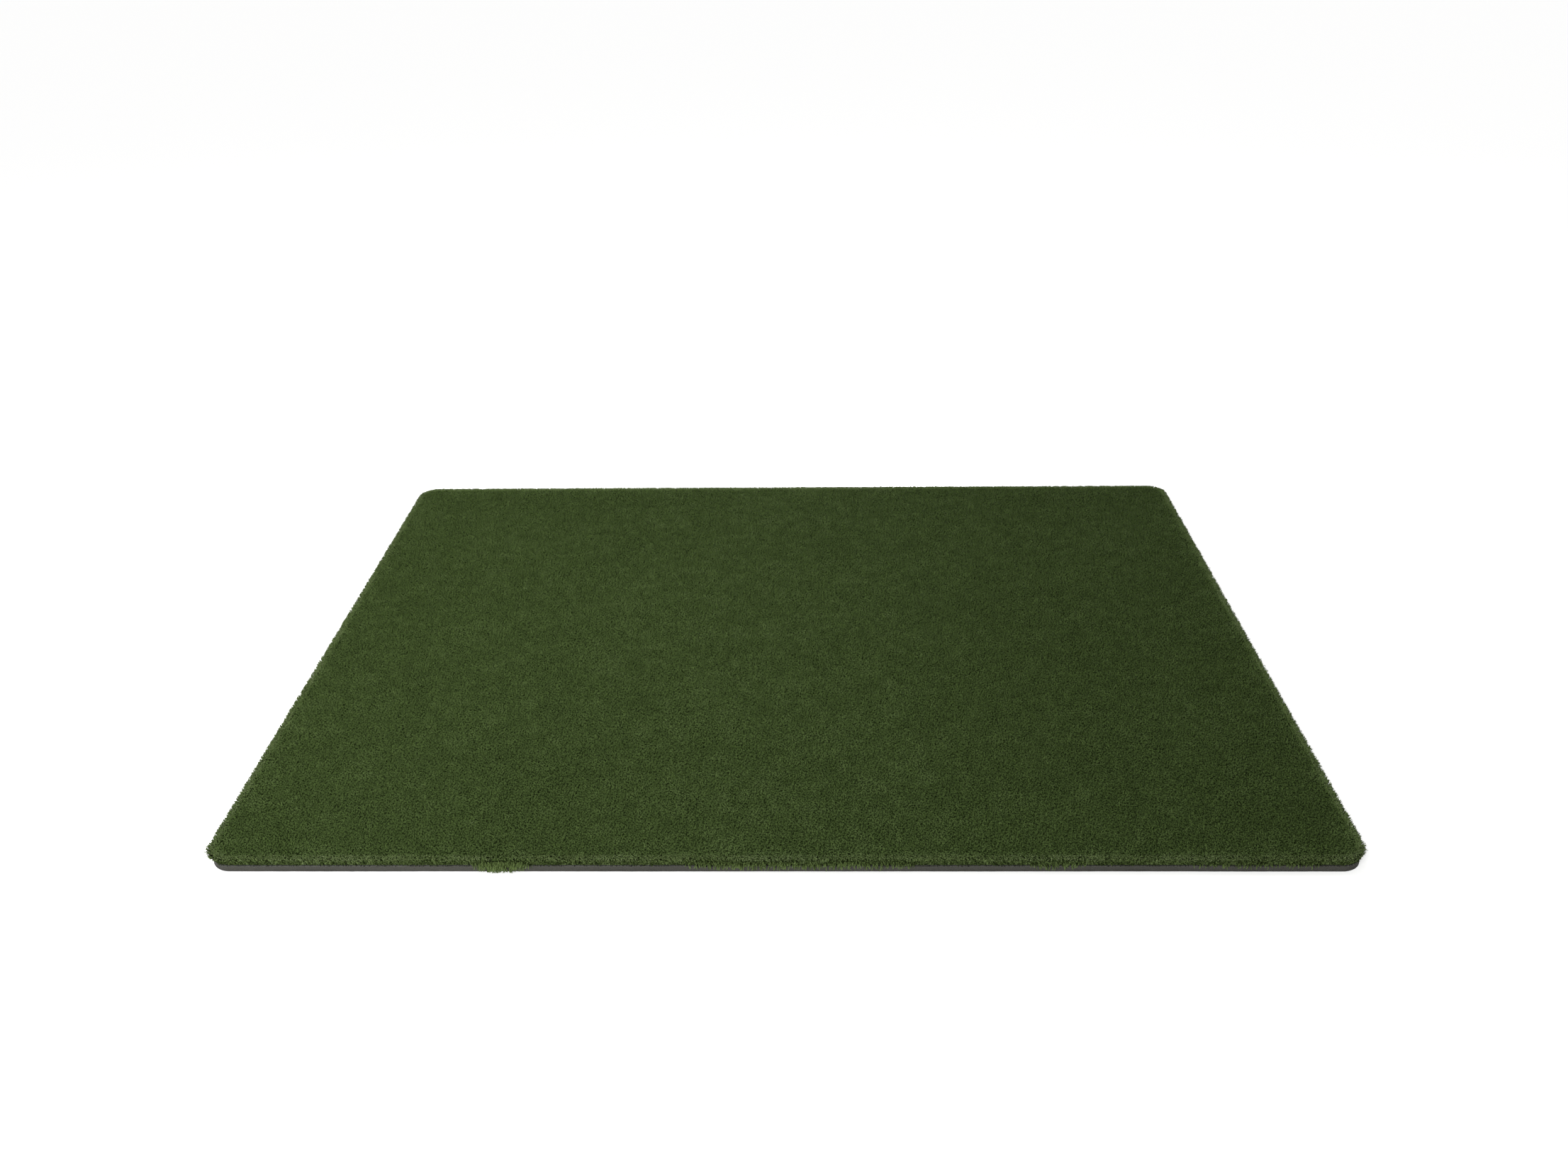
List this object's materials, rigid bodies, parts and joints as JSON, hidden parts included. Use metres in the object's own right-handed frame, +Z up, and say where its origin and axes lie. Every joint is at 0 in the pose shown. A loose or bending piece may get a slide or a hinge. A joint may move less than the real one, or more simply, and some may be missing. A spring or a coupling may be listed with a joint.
{
  "type": "golf hitting mat",
  "caption": "Flat rectangular golf hitting mat with rounded corners: curled dark green turf on a thin charcoal foam and rubber base.",
  "frame": {"origin": "centre of the flat underside, on the ground the mat lies on", "axes": "+X along the long side, +Y across the mat away from the near long side, +Z up through its thickness"},
  "size_m": [1.536, 1.231, 0.024],
  "materials": {
    "sole_rubber": "matte",
    "bond_film": "satin",
    "pad_foam": "matte",
    "tuft_latex": "matte",
    "backing_cloth": "matte",
    "turf_yarn": "matte"
  },
  "bodies": {
    "root": {"rubber_sole": "sole_rubber", "sole_adhesive": "bond_film", "foam_pad": "pad_foam", "pad_adhesive": "bond_film", "latex_coat": "tuft_latex", "primary_backing": "backing_cloth", "turf_pile": "turf_yarn"}
  },
  "joints": []
}
